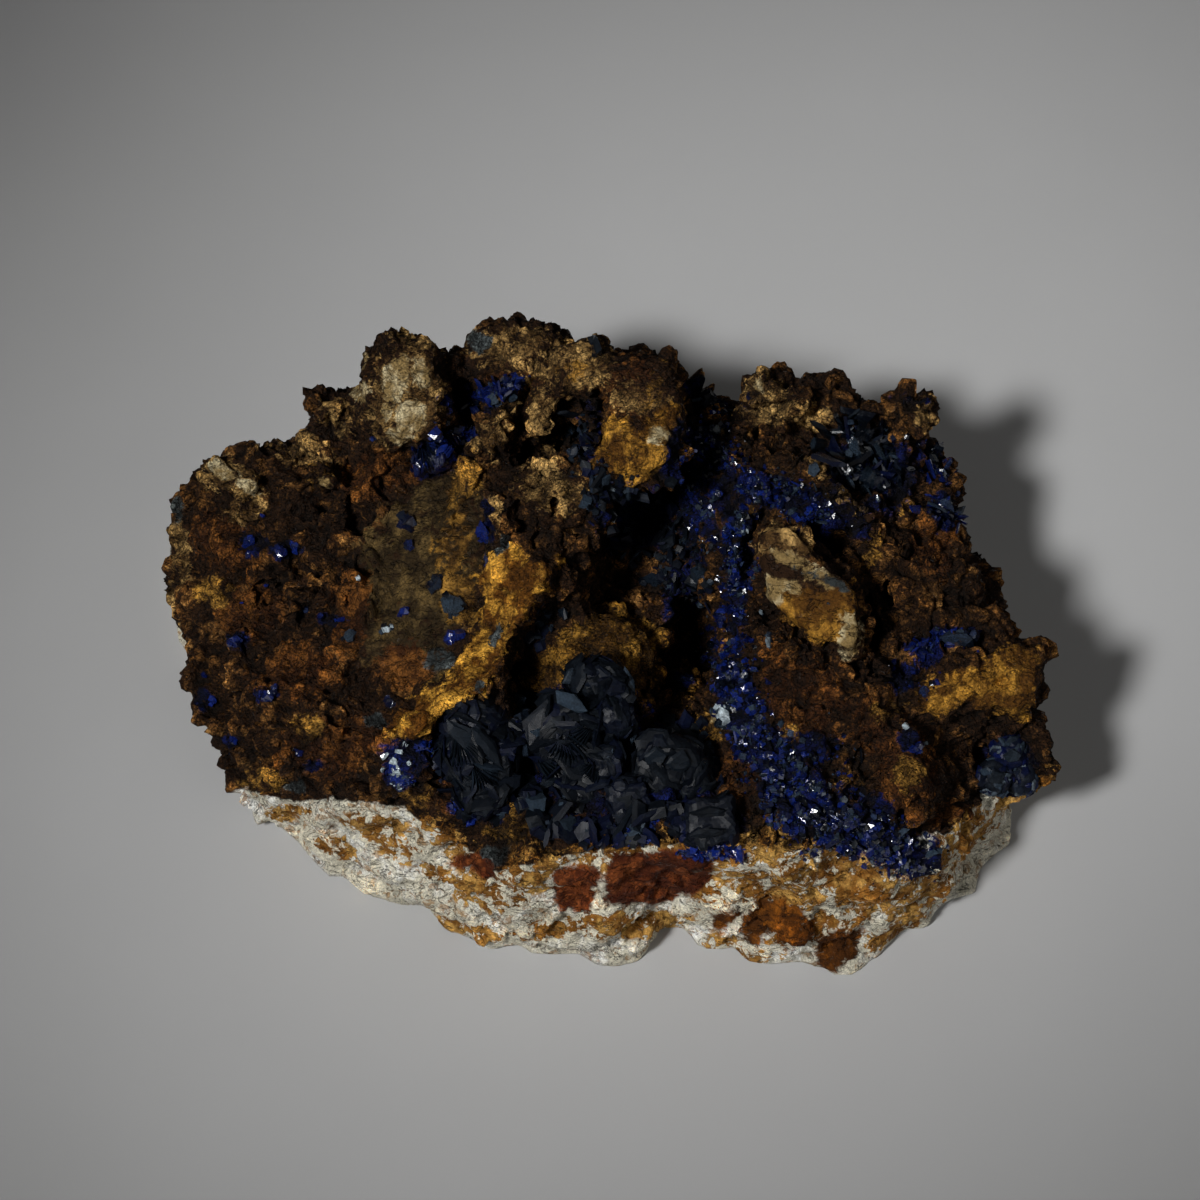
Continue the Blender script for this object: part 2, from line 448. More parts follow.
def masksOf(mesh):
    # where each kind of rock shows, 0 to 1 at each point
    points, normals = coordsOf(mesh), normalsOf(mesh)
    seen = seenFrom(points)
    facing = smooth(-0.25, 0.2, normals @ np.array(toViewer))
    broad, narrow = fractal(points, rock["wander"]["size"], 3, 1), fractal(points, rock["wander"]["smallSize"], 3, 2)
    wander = 1.3 * broad + 0.5 * narrow
    line = np.array(rock["contact"], float)
    front = smooth(-0.4, 0.4, np.interp(seen[:, 0], line[:, 0], line[:, 1]) - seen[:, 1] + 0.5 * wander)
    front *= smooth(0, -12 * mm, points[:, 1])
    bearings, level = np.array(rock["contactHeights"], float).T
    angles = np.degrees(np.arctan2(points[:, 1], points[:, 0]))
    sides = smooth(-0.5, 0.5, np.interp(angles, bearings, level) - points[:, 2] / mm + wander)
    masks = {"pale": np.maximum(front, sides * (1 - spots(seen, rock["face"])))}
    for name in (
        "plate", "rust", "tan", "streak", "ochre", "honey", "gold", "stain", "cream", "slate", "brick", "umber", "blue",
    ):
        masks[name] = spots(seen, rock["patches"].get(name, []))
        for outline in rock["outlines"].get(name, []):
            masks[name] = np.maximum(masks[name], smooth(-1.3, 1.3, within(seen, outline) + 0.5 * narrow))
    masks["plate"] = smooth(-2.6, 1.6, within(seen, rock["plate"]) + 0.8 * narrow)
    contact = np.abs(np.interp(seen[:, 0], line[:, 0], line[:, 1]) - seen[:, 1])
    masks["stain"] = np.maximum(masks["stain"], (1 - smooth(0.6, 3.4, contact)) * smooth(-26, -14, seen[:, 0]))
    for places, halfWidth in rock["blueBand"]:
        masks["blue"] = np.maximum(masks["blue"], 1 - smooth(0.5, 1.6, awayFromLine(seen, places) / halfWidth))
    for name in masks:
        if name != "pale":
            masks[name] *= facing
    masks["blue"] *= smooth(0.1, 0.4, normals @ np.array(toViewer))
    return points, normals, seen, masks


def lowered(points):
    # draws what would stand over the object's own height back under it
    over = np.maximum(points[:, 2] - (cadBox[1][2] - rock["headroom"] * mm), 0)
    softness = rock["headSoftness"] * mm
    points[:, 2] -= over - softness * (1 - np.exp(-over / softness))
    return points


def makeRock():
    bm = bmesh.new()
    bm.from_mesh(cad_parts["matrix"].data)
    bmesh.ops.remove_doubles(bm, verts=bm.verts, dist=0.001 * mm)
    for slab in rock["slabs"]:
        addSlab(bm, *slab)
    for block in rock["blocks"]:
        addBlock(bm, *block)
    piece = pieceFrom(bm, "rock")
    applied(piece, "REMESH", mode="VOXEL", voxel_size=rock["firstVoxel"] * mm)
    applied(piece, "SMOOTH", factor=0.5, iterations=2)
    relieved(piece.data)
    applied(piece, "REMESH", mode="VOXEL", voxel_size=rock["voxel"] * mm)
    print("rock forms:", len(piece.data.vertices), "points")

    points, normals, seen, masks = masksOf(piece.data)
    even = np.clip(0.7 * masks["plate"] + 0.55 * masks["gold"] + 0.5 * masks["ochre"] + 0.6 * masks["cream"], 0, 0.85)
    even = np.maximum(even, 0.96 * smooth(-0.4, 0.8, within(seen, clastOutline)))
    granular = (1 - masks["pale"]) * (1 - even) * (1 - 0.5 * spots(seen, rock["calm"]))
    lump, bead, tiny, chip, smallChip = (rock[name] for name in ("lumps", "beads", "grains", "chips", "smallChips"))
    lumps, lumpNumbers = nodules(points, lump["size"], 1)
    beads, beadNumbers = nodules(points, bead["size"], 2)
    grains, grainNumbers = nodules(points, tiny["size"], 3)
    chips, smallChips = facets(points, chip["size"], 5), facets(points, smallChip["size"], 6)
    grain = fractal(points, rock["roughness"]["size"], 3, 4)
    standing = (0.35 + beadNumbers) * (bead["rise"] * beads - bead["sunk"])
    push = granular * (0.6 + lumpNumbers) * (lump["rise"] * lumps - lump["sunk"])
    push += granular * np.where(beadNumbers < bead["pitted"], -bead["pitDepth"] * beads, standing)
    push += granular * (tiny["rise"] * grains - tiny["rise"] / 2) + rock["roughness"]["rise"] * grain
    angular = np.clip(masks["pale"] + even, 0, 1)
    rugged = 0.3 + 0.8 * masks["pale"] + 0.8 * masks["gold"]
    push += angular * (chip["rise"] * chips + smallChip["rise"] * smallChips + 0.12 * (grains - 0.5)) * rugged
    creases = 0.7 * smooth(0.16, 0.0, lumps) * smooth(0.3, 0.6, lumpNumbers)
    push -= masks["plate"] * (creases + 0.8 * beads * (beadNumbers > bead["holes"]))
    push -= masks["pale"] * 0.7 * beads * (beadNumbers > bead["paleHoles"])
    edge = smooth(0.2 * mm, 2.5 * mm, points[:, 2])
    setCoords(piece.data, lowered(points + normals * (push * edge)[:, None] * mm))

    masks["cavity"] = smooth(-0.25, -1.2, push) * (1 - 0.6 * masks["pale"])
    masks["flat"] = angular
    masks["crest"] = smooth(0.2, 0.8, push)
    masks["grainTone"] = 0.5 * beadNumbers + 0.3 * lumpNumbers + 0.2 * grainNumbers
    for name, values in masks.items():
        paint(piece.data, name, values)
    before = trianglesOf(piece)
    applied(piece, "DECIMATE", ratio=min(1.0, rock["triangles"] / before))
    points = coordsOf(piece.data)
    points[points[:, 2] < 0.08 * mm, 2] = 0
    setCoords(piece.data, points)
    piece.data.polygons.foreach_set("use_smooth", [True] * len(piece.data.polygons))
    print("rock:", before, "triangles brought to", trianglesOf(piece))
    return piece


# Materials. Each is a tree of procedural nodes on Object coordinates and the piece's own masks.


class Finish:
    # a small builder for one material's nodes
    def __init__(self, name):
        self.material = bpy.data.materials.new(name)
        self.material.use_nodes = True
        self.nodes = self.material.node_tree.nodes
        self.links = self.material.node_tree.links
        self.shader = self.nodes["Principled BSDF"]
        self.coords = self.nodes.new("ShaderNodeTexCoord").outputs["Object"]

    def plug(self, value, socket):
        if isinstance(value, bpy.types.NodeSocket):
            self.links.new(value, socket)
        else:
            socket.default_value = (*value, 1) if socket.type == "RGBA" else value

    def shade(self, name, value):
        self.plug(value, self.shader.inputs[name])

    def node(self, kind, inputs, **settings):
        node = self.nodes.new("ShaderNode" + kind)
        for key, value in settings.items():
            setattr(node, key, value)
        for place, value in inputs.items():
            self.plug(value, node.inputs[place])
        return node

    def noise(self, size, detail=4, roughness=0.6, seed=0.0, distortion=0.0, stretch=(1, 1, 1)):
        moved = self.node(
            "Mapping", {"Vector": self.coords, "Location": (seed, seed * 0.7, seed * 1.3), "Scale": stretch}
        )
        return self.node("TexNoise", {
            "Vector": moved.outputs["Vector"], "Scale": 1 / (size * mm), "Detail": detail,
            "Roughness": roughness, "Distortion": distortion,
        }).outputs["Fac"]

    def warped(self, size, amount):
        # coordinates pushed about a little, so that cells lose their straight edges
        texture = self.node("TexNoise", {"Vector": self.coords, "Scale": 1 / (size * mm), "Detail": 2})
        inputs = {0: texture.outputs["Color"], 1: (amount * mm,) * 3, 2: self.coords}
        return self.node("VectorMath", inputs, operation="MULTIPLY_ADD").outputs[0]

    def grains(self, size, where):
        # a random number for each grain, how far each point lies from its grain's middle, and from its edge
        inputs = {"Vector": where, "Scale": 1 / (size * mm)}
        middles, edges = (self.node("TexVoronoi", inputs, feature=kind) for kind in ("F1", "DISTANCE_TO_EDGE"))
        parts = self.node("SeparateColor", {0: middles.outputs["Color"]})
        return parts.outputs[0], middles.outputs["Distance"], edges.outputs["Distance"]

    def mask(self, name):
        return self.node("Attribute", {}, attribute_name=name).outputs["Fac"]

    def math(self, operation, first, second=0.0):
        return self.node("Math", {0: first, 1: second}, operation=operation).outputs[0]

    def ramp(self, value, low, high, toLow=0.0, toHigh=1.0):
        inputs = dict(enumerate((value, low, high, toLow, toHigh)))
        return self.node("MapRange", inputs, interpolation_type="SMOOTHSTEP").outputs[0]

    def mix(self, share, first, second, blend="MIX"):
        inputs = {"Factor": share, 6: first, 7: second}
        return self.node("Mix", inputs, data_type="RGBA", blend_type=blend).outputs[2]

    def bump(self, height, strength, distance, normal=None):
        inputs = {"Strength": strength, "Distance": distance * mm, "Height": height}
        if normal is not None:
            inputs["Normal"] = normal
        return self.node("Bump", inputs).outputs["Normal"]


# Kinds of rock over the brown one, in the order they are laid: (mask, darker, lighter, how broken its edge is)
rockFinish = {
    "sizes": {"coarse": 6, "middle": 2.2, "speck": 0.75, "fine": 0.24, "big": 1.25, "small": 0.5},
    "brown": ((0.021, 0.0086, 0.0027), (0.120, 0.052, 0.013), (0.420, 0.210, 0.060)),
    "layers": [
        ("plate", (0.028, 0.017, 0.006), (0.135, 0.085, 0.028), 0.9),
        ("rust", (0.040, 0.013, 0.003), (0.210, 0.078, 0.015), 1.2),
        ("tan", (0.085, 0.044, 0.013), (0.580, 0.355, 0.120), 1.4),
        ("streak", (0.060, 0.028, 0.005), (0.400, 0.205, 0.036), 2.0),
        ("ochre", (0.085, 0.034, 0.004), (0.520, 0.255, 0.034), 0.8),
        ("honey", (0.055, 0.024, 0.003), (0.330, 0.165, 0.024), 0.7),
        ("gold", (0.110, 0.040, 0.004), (0.860, 0.440, 0.060), 0.6),
        ("pale", (0.640, 0.600, 0.475), (0.930, 0.930, 0.885), 0.25),
        ("stain", (0.205, 0.082, 0.012), (0.640, 0.370, 0.095), 2.0),
        ("cream", (0.240, 0.160, 0.060), (0.690, 0.590, 0.360), 0.7),
        ("slate", (0.026, 0.030, 0.030), (0.120, 0.140, 0.140), 0.8),
        ("brick", (0.065, 0.013, 0.003), (0.250, 0.066, 0.015), 0.25),
        ("umber", (0.060, 0.018, 0.0015), (0.240, 0.074, 0.005), 0.4),
        ("blue", (0.0012, 0.0020, 0.010), (0.0035, 0.0080, 0.078), 0.9),
    ],
    "rustSpeck": (0.300, 0.150, 0.035),
    "soot": (0.004, 0.0025, 0.0015),
    "worn": (2.3, 2.1, 1.8),  # how much lighter the crests are
}


def rockMaterial():
    finish = Finish("ironstone and host rock")
    sizes = rockFinish["sizes"]
    coarse = finish.noise(sizes["coarse"], 3, 0.6, 0.3)
    middle = finish.noise(sizes["middle"], 4, 0.65, 0.7)
    speck = finish.noise(sizes["speck"], 3, 0.7, 0.9)
    fine = finish.noise(sizes["fine"], 2, 0.7, 1.9)
    where = finish.warped(1.4, 1.2)
    big, bigAway, bigEdge = finish.grains(sizes["big"], where)
    small, smallAway, _ = finish.grains(sizes["small"], where)
    grain = finish.mix(0.4, big, small)
    mottle = finish.mix(0.3, finish.mix(0.45, middle, speck), grain)
    mottle = finish.mix(0.25, mottle, finish.mask("grainTone"))
    dark, usual, light = rockFinish["brown"]
    colour = finish.mix(finish.ramp(mottle, 0.38, 0.52), dark, usual)
    colour = finish.mix(finish.ramp(mottle, 0.52, 0.66), colour, light)
    wander = finish.math("SUBTRACT", finish.mix(0.6, coarse, finish.mix(0.4, middle, speck)), 0.5)
    wander = finish.math("ADD", finish.math("MULTIPLY", wander, 5.0), finish.math("SUBTRACT", grain, 0.5))
    streaks = finish.noise(1.5, 3, 0.6, 2.9, 0.4, (1.0, 0.3, 0.45))
    patchTint = finish.ramp(finish.mix(0.25, finish.mix(0.4, mottle, coarse), streaks), 0.40, 0.58)
    for name, darker, lighter, broken in rockFinish["layers"]:
        share = finish.math("ADD", finish.mask(name), finish.math("MULTIPLY", wander, broken))
        share = finish.math("MULTIPLY", finish.ramp(share, 0.30, 0.70), finish.ramp(finish.mask(name), 0.0, 0.25))
        colour = finish.mix(share, colour, finish.mix(patchTint, darker, lighter))
        if name == "pale":
            dots = finish.ramp(finish.mix(0.4, finish.mix(0.5, middle, speck), grain), 0.53, 0.66, 0.0, 0.75)
            colour = finish.mix(finish.math("MULTIPLY", dots, share), colour, rockFinish["rustSpeck"])
    worn = finish.math("MULTIPLY", finish.mask("crest"), finish.ramp(speck, 0.42, 0.6, 0.1, 0.9))
    colour = finish.mix(worn, colour, finish.mix(1.0, colour, rockFinish["worn"], "MULTIPLY"))
    flat = finish.mask("flat")
    darkest, brightest = finish.ramp(flat, 0.0, 1.0, 0.45, 0.75), finish.ramp(flat, 0.0, 1.0, 1.6, 1.2)
    colour = finish.mix(1.0, colour, finish.ramp(fine, 0.34, 0.66, darkest, brightest), "MULTIPLY")
    plain = finish.ramp(flat, 0.0, 1.0, 0.35, 0.80)
    colour = finish.mix(1.0, colour, finish.ramp(bigEdge, 0.0, 0.10, plain, 1.05), "MULTIPLY")
    veins = finish.noise(3.4, 3, 0.7, 6.1, 0.8, (0.6, 1.5, 1.5))
    crack = finish.math("ABSOLUTE", finish.math("SUBTRACT", veins, 0.5))
    colour = finish.mix(1.0, colour, finish.ramp(crack, 0.0, 0.013, 0.35, 1.0), "MULTIPLY")
    deep = finish.math("MULTIPLY", finish.mask("cavity"), 0.75)
    colour = finish.mix(deep, colour, rockFinish["soot"])
    finish.shade("Base Color", colour)
    finish.shade("Roughness", finish.ramp(small, 0.90, 0.97, 0.85, 0.35))
    finish.shade("Specular IOR Level", 0.15)
    bumps = finish.math("MULTIPLY", finish.ramp(bigAway, 0.0, 0.75, 1.0, 0.0), finish.math("ADD", big, 0.4))
    smallBumps = finish.ramp(smallAway, 0.0, 0.75, 1.0, 0.0)
    rough = finish.ramp(flat, 0.0, 1.0, 1.0, 0.25)
    normal = finish.bump(finish.math("MULTIPLY", bumps, rough), 1.0, 0.55)
    normal = finish.bump(finish.math("MULTIPLY", smallBumps, rough), 0.9, 0.22, normal)
    normal = finish.bump(finish.ramp(crack, 0.0, 0.02), 0.9, 0.3, normal)
    normal = finish.bump(finish.noise(0.8, 5, 0.75, 2.2), 0.8, 0.35, normal)
    finish.shade("Normal", normal)
    return finish.material


rockPiece = makeRock()
rockPiece.data.materials.clear()
rockPiece.data.materials.append(rockMaterial())
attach(rockPiece, "root")
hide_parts("matrix")

# Crystals. They are grown on the rock's own surface, so each sits on what carries it.


class Ground:
    # the rock's surface, as the display side sees it
    def __init__(self, piece):
        bm = bmesh.new()
        bm.from_mesh(piece.data)
        self.tree = BVHTree.FromBMesh(bm)
        bm.free()

    def at(self, across, up):
        return self.tree.ray_cast(placeAt(across, up, farOut), -toViewer)[:2]


def newCrystals():
    bm = bmesh.new()
    bm.verts.layers.float.new("tone")
    bm.verts.layers.float.new("film")
    return bm


class Heap:
    # many crystals, gathered in small batches, since each operator walks its whole mesh
    def __init__(self, batch=150):
        self.whole, self.small, self.count, self.batch = newCrystals(), newCrystals(), 0, batch

    def part(self):
        self.count += 1
        if self.count % self.batch == 0:
            self.gathered()
        return self.small

    def gathered(self):
        mesh = bpy.data.meshes.new("batch")
        self.small.to_mesh(mesh)
        self.small.free()
        self.whole.from_mesh(mesh)
        bpy.data.meshes.remove(mesh)
        self.small = newCrystals()
        return self.whole


def toned(bm, verts, tone, film):
    # tone goes from black blue to bright blue, film from clean to slate grey
    toneLayer, filmLayer = bm.verts.layers.float["tone"], bm.verts.layers.float["film"]
    for vert in verts:
        vert[toneLayer] = tone
        vert[filmLayer] = film
    return verts


def axesOf(facing, along):
    facing = facing.normalized()
    across = facing.cross(along).normalized()
    return across.cross(facing), across, facing


def addPlate(bm, finish, middle, facing, along, size, sides=6, taper=0.86):
    # one flat crystal of size (length, width, thickness) in mm, whose broad face looks along facing
    along, across, facing = axesOf(facing, along)
    axes = Matrix((along * size[0] / 2 * mm, across * size[1] / 2 * mm, facing * size[2] * mm)).transposed().to_4x4()
    made = bmesh.ops.create_cone(
        bm, cap_ends=True, segments=sides, radius1=1, radius2=taper, depth=1,
        matrix=Matrix.Translation(middle) @ axes,
    )["verts"]
    return toned(bm, made, *finish)


def addPetal(bm, finish, middle, facing, along, size, bend=0.15, sides=9, point=0.0):
    # a thin plate with flat middles and a sharp rim, bent back there and drawn to points at its ends
    along, across, facing = axesOf(facing, along)
    length, width, thickness = (part / 2 * mm for part in size)
    made = bmesh.ops.create_uvsphere(bm, u_segments=sides, v_segments=4, radius=1)["verts"]
    for vert in made:
        x, y, z = vert.co
        rise = max(-0.7, min(0.7, z)) * thickness - bend * (x * x + y * y) * length
        y *= 1 - point * abs(x)
        vert.co = middle + along * x * length + across * y * width + facing * rise
    return toned(bm, made, *finish)


def addBlade(bm, finish, root, along, facing, size, chance):
    # a bladed crystal that grows from its root: a flat prism drawn in to a slanted chisel point
    length, width, thickness = size
    along = along.normalized()
    made = addPlate(bm, finish, root + along * length * 0.45 * mm, along, facing, (thickness, width, length), 6, 0.8)
    tip = root + along * length * 0.95 * mm
    slant = chance.uniform(0.5, 1.1)
    side = along.cross(facing).normalized()
    for vert in made:
        if (vert.co - tip).dot(along) > -0.1 * length * mm:
            vert.co += along * (vert.co - tip).dot(side) * slant
    return made


def anyWay(chance):
    return Vector((chance.gauss(0, 1), chance.gauss(0, 1), chance.gauss(0, 1))).normalized()


def wiggled(verts, amount, chance):
    # moves points by noise at each one's own place, since an operator's order of points may change from run to run
    offset = anyWay(chance) * 40
    for vert in verts:
        vert.co += noise.noise_vector(vert.co / (0.4 * mm) + offset) * 2 * amount * mm


def finishCrystals(bm, name, node=None, kind="crust"):
    bmesh.ops.recalc_face_normals(bm, faces=bm.faces)
    piece = pieceFrom(bm, name)
    piece.data.materials.append(azurites[kind])
    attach(piece, "root")
    if node:
        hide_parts(node)
    print(name, trianglesOf(piece), "triangles")


# Roses: round lobes covered with thin bent plates that overlap like petals, each laid in a stack where there is one. A
# face is one broad flat plate (across, up, length, width, turn, film) that looks to the display side, and a fan is thin
# blades set on edge (across, up, turn, how many, length).
roses = {
    "roseMiddle": {
        "node": "rose_middle", "at": (-2.9, -4.2, 30), "reach": (6.6, 9.8, 6.4), "seed": 3,
        "lobes": [
            ((-0.4, 3.6, 30.4), (4.3, 3.1, 4.4), -4, 2.2), ((1.7, -0.8, 30.6), (2.7, 3.4, 4.2), 0, 2.6),
            ((-4, -3.4, 30.4), (5.3, 5.2, 5), -20, 2.6), ((-2.4, -9.6, 31.2), (4.6, 3.8, 4.4), 10, 3),
            ((0.8, -6.4, 32), (2.4, 2.6, 4), 20, 3), ((0.8, -12.6, 33), (2.2, 2.8, 3), 8, 3),
        ],
        "petals": 11, "petal": (6.2, 3.8, 0.4), "lean": (6, 44), "tone": (0, 0.22), "film": (0, 0.3),
        "faces": [
            (-3.6, 1, 5.2, 2.4, -30, 1), (1.2, -6.3, 3.8, 2.4, 80, 1), (-2.9, -10.9, 6, 2.6, -8, 0.8),
            (0.7, -13, 4, 2.6, 70, 0.8), (3.5, 3.4, 4.4, 1.8, -58, 0.8), (-3.4, 4.2, 3.2, 1.8, 40, 0.6),
            (-7.6, -2.6, 1.8, 1.2, -20, 0.9), (4.2, -2.8, 3.4, 1, 84, 0.7), (-6.4, -9, 3, 1.6, 30, 0.3),
        ],
        "fans": [(-4, -5.4, 10, 13, 4.2), (-6.2, -6.8, 60, 9, 3.4), (-1, -8.4, -30, 9, 3.2), (-2.4, -3, -50, 7, 3)],
    },
    "roseLeft": {
        "node": "rose_left", "at": (-14.8, -6, 32), "reach": (4.7, 7.2, 5.2), "seed": 5,
        "lobes": [
            ((-15.4, -1, 31.2), (4.3, 3.1, 4.4), -6, 2.4), ((-15.6, -5.4, 32), (3.6, 4.6, 4.6), -24, 2.6),
            ((-12.8, -6.6, 31.4), (2.9, 5.4, 4.2), -20, 3), ((-14.2, -10, 32.6), (3.8, 2.6, 3.6), -14, 2.6),
        ],
        "petals": 11, "petal": (7, 3.6, 0.4), "lean": (6, 44), "tone": (0, 0.22), "film": (0, 0.25),
        "faces": [
            (-16.6, -3.4, 6.4, 3.2, -48, 0.35), (-13.6, -4.4, 6.6, 2.4, -50, 0.3), (-15.6, 0.2, 5.6, 2.6, 4, 0.15),
        ],
        "fans": [(-15.6, -5, 40, 15, 4.6), (-13.4, -8.4, 40, 11, 3.8), (-16.8, -8, 60, 9, 3.6)],
    },
    "roseLow": {
        "node": "rose_low", "at": (8.2, -6.6, 33), "reach": (4.6, 4.4, 4.8), "seed": 8,
        "lobes": [
            ((8.2, -6.2, 33), (4.3, 3.6, 4.2), -14, 5), ((6.2, -9.4, 33.4), (3.6, 2.2, 3.6), 4, 4),
            ((11.2, -8.2, 33.4), (2.6, 2.8, 3.2), 20, 4),
        ],
        "petals": 10, "petal": (5.4, 3.6, 0.45), "lean": (6, 40), "tone": (0, 0.15), "film": (0, 0.12),
        "faces": [(6.8, -5.6, 3.4, 2.8, 6, 0.35), (9.6, -6.2, 3.4, 3, -10, 0.3), (7.4, -9.6, 3.4, 1.6, 4, 0.1)],
    },
    "blockLow": {
        "node": "block_low", "at": (13.3, -13.4, 39.2), "reach": (3.4, 3, 3), "seed": 4,
        "lobes": [((13.3, -13.2, 38.6), (3.4, 3.2, 3.2), 4, 7), ((10.6, -14.4, 38), (1.8, 1.8, 2.6), 30, 4)],
        "petals": 6, "petal": (5, 3.6, 0.6), "lean": (3, 24), "tone": (0.05, 0.35), "film": (0, 0.25),
        "faces": [(13.2, -12.2, 5.4, 1.6, 4, 0.1), (13.2, -14.6, 5.2, 1.6, 2, 0.1)],
        "fans": [(12.4, -11, 88, 9, 3)],
    },
    "blockFront": {
        "at": (3.3, -11.4, 36.4), "reach": (3.4, 3.2, 3.4), "seed": 6,
        "lobes": [((3.4, -11, 36), (2.9, 2.7, 3), 8, 8), ((5.6, -13, 35.8), (1.6, 1.6, 2.4), 40, 4)],
        "petals": 5, "petal": (5.4, 4.4, 0.6), "lean": (3, 20), "tone": (0, 0.2), "film": (0, 0.2),
        "faces": [(5.4, -13.4, 1.8, 1.2, -40, 0.8)],
    },
    "roseRight": {
        "node": "rose_right", "at": (50, -7, 24.4), "reach": (3.7, 3.9, 3.6), "seed": 9,
        "lobes": [
            ((50.2, -5.4, 24.4), (2.8, 2.5, 2.9), 10, 2.4), ((48.4, -8.2, 24.6), (2.4, 2.5, 2.7), 0, 2.6),
            ((51.8, -8.4, 23.8), (2.1, 2.4, 2.5), 0, 2.6),
        ],
        "petals": 14, "petal": (4.2, 2.6, 0.4), "lean": (8, 50), "tone": (0.1, 0.5), "film": (0.3, 1.2),
        "faces": [(50.4, -5.8, 2.8, 2.2, 0, 0.5), (48.6, -8.4, 2.4, 1.8, 30, 0.3)],
    },
    "sparkCluster": {
        "node": "spark_cluster", "kind": "crust", "at": (-24.2, -7.2, 30.6), "reach": (2.5, 3.4, 2.8), "seed": 12,
        "lobes": [((-24.2, -7.2, 30), (1.9, 2.8, 2.4), 8, 2.4)],
        "petals": 80, "petal": (2.2, 1.6, 0.5), "lean": (10, 80), "tone": (0.6, 1), "film": (0.2, 2.2),
        "faces": [
            (-25.6, -4.2, 1.5, 1.1, 20, 1.8), (-24.4, -5, 1.3, 0.9, -30, 1.7), (-26.2, -5.6, 1.2, 0.9, 60, 1.8),
            (-25, -6.2, 1.2, 0.8, 10, 1.6), (-23.6, -4.2, 1, 0.7, 45, 1.7), (-24.6, -7.6, 0.9, 0.7, -10, 1.6),
            (-26.4, -7.2, 0.8, 0.6, 30, 1.7), (-23.2, -6.4, 0.8, 0.6, 70, 1.5),
        ],
    },
    "stripedCrystal": {
        "kind": "crust", "at": (-20.2, 31, 15.4), "reach": (3, 2.4, 2.6), "seed": 14,
        "lobes": [((-20.2, 31, 15), (2.7, 2.1, 2.2), 20, 2.4)],
        "petals": 5, "petal": (6.4, 3.4, 0.3), "stack": 4, "lean": (10, 40), "tone": (0.3, 0.9), "film": (0, 0.2),
        "fans": [(-21.2, 31, 30, 11, 3.4)],
    },
}
roseForm = {
    "chip": 2.2,  # size of the flat chips of a lobe, how far they stand, and how far all of it lies under its plates
    "chipRise": 0.10,
    "sunk": 0.12,
    "wiggle": 0.07,
    "faceWiggle": 0.2,
    "fanStep": 8,  # degrees from blade to blade
    "fanGap": 0.34,
    "fanSunk": 1.3,
    "blade": (2.4, 0.2),  # width, thickness
}


def makeRose(name, look):
    chance = random.Random(look["seed"])
    bm = newCrystals()
    heart = placeAt(*look["at"])
    reach = Vector(look["reach"])
    length, width, thickness = look["petal"]

    def turnedOut(local):
        return (rightward * local.x + upward * local.y + toViewer * local.z).normalized()

    def placed(local):
        out = rightward * local.x * reach.x + upward * local.y * reach.y + toViewer * local.z * reach.z
        return heart + out * mm

    def onTop(across, up):
        # the place on the rose's own round front, and the way out of it
        x, y = (across - look["at"][0]) / reach.x, (up - look["at"][1]) / reach.y
        local = Vector((x, y, max(0.05, 1 - x * x - y * y) ** 0.5))
        return placed(local), turnedOut(Vector((x / reach.x, y / reach.y, local.z / reach.z)))

    for place, halfSizes, turn, squareness in look["lobes"]:
        lobe = toned(bm, addBlock(bm, place, halfSizes, turn, squareness), chance.uniform(*look["tone"]), 0.1)
        middle = placeAt(*place)
        for vert, step in zip(lobe, facets([vert.co for vert in lobe], roseForm["chip"], look["seed"])):
            vert.co += (vert.co - middle) * (float(step) * roseForm["chipRise"] - roseForm["sunk"])
        bm.normal_update()
        sites = [(vert.co.copy(), vert.normal.copy()) for vert in lobe if vert.normal.dot(toViewer) > -0.25]
        sites.sort(key=lambda site: site[0][:])
        around = (halfSizes[0] * halfSizes[1]) ** 0.5
        for _ in range(int(look["petals"] * around)):
            site, outward = chance.choice(sites)
            hinge = outward.cross(anyWay(chance)).normalized()
            facing = Matrix.Rotation(radians(chance.uniform(*look["lean"])), 3, hinge) @ outward
            finish = (chance.uniform(*look["tone"]), chance.uniform(*look["film"]) * (chance.random() < 0.5))
            scale = chance.uniform(0.5, 1.0) * around / 4
            for k in range(look.get("stack", 1)):
                where = site + outward * (0.1 - 0.3 * thickness) * mm + facing * k * thickness * 1.4 * mm
                shrink = scale * (1 - 0.12 * k)
                size = (length * shrink, width * shrink, thickness * chance.uniform(0.8, 1.2))
                made = addPetal(bm, finish, where, facing, hinge, size, 0.08, chance.choice((5, 6, 7)), 0.25)
                wiggled(made, roseForm["wiggle"] * around / 4, chance)
    for across, up, faceLength, faceWidth, turn, film in look.get("faces", []):
        middle, outward = onTop(across, up)
        facing = offGlare((outward * 0.5 + toViewer + anyWay(chance) * 0.12).normalized())
        size = (faceLength, faceWidth, thickness * 1.6)
        made = addPetal(bm, (0.05, film), middle, facing, turnedTo(turn), size, 0.05, chance.choice((5, 6, 7)), 0.5)
        wiggled(made, roseForm["faceWiggle"], chance)
    for across, up, turn, count, bladeLength in look.get("fans", []):
        middle, outward = onTop(across, up)
        for k in range(count):
            step = k - (count - 1) / 2
            spread = Matrix.Rotation(radians(roseForm["fanStep"] * step), 3, outward)
            facing = (spread @ turnedTo(turn) + outward * chance.uniform(-0.1, 0.1)).normalized()
            where = middle + facing * step * roseForm["fanGap"] * mm - outward * roseForm["fanSunk"] * mm
            size = (bladeLength * chance.uniform(0.7, 1.1), *roseForm["blade"])
            finish = (chance.uniform(*look["tone"]), 0.6)
            addPetal(bm, finish, where, facing, outward.cross(facing), size, 0.08, 7)
    finishCrystals(bm, name, look.get("node"), look.get("kind", "rose"))


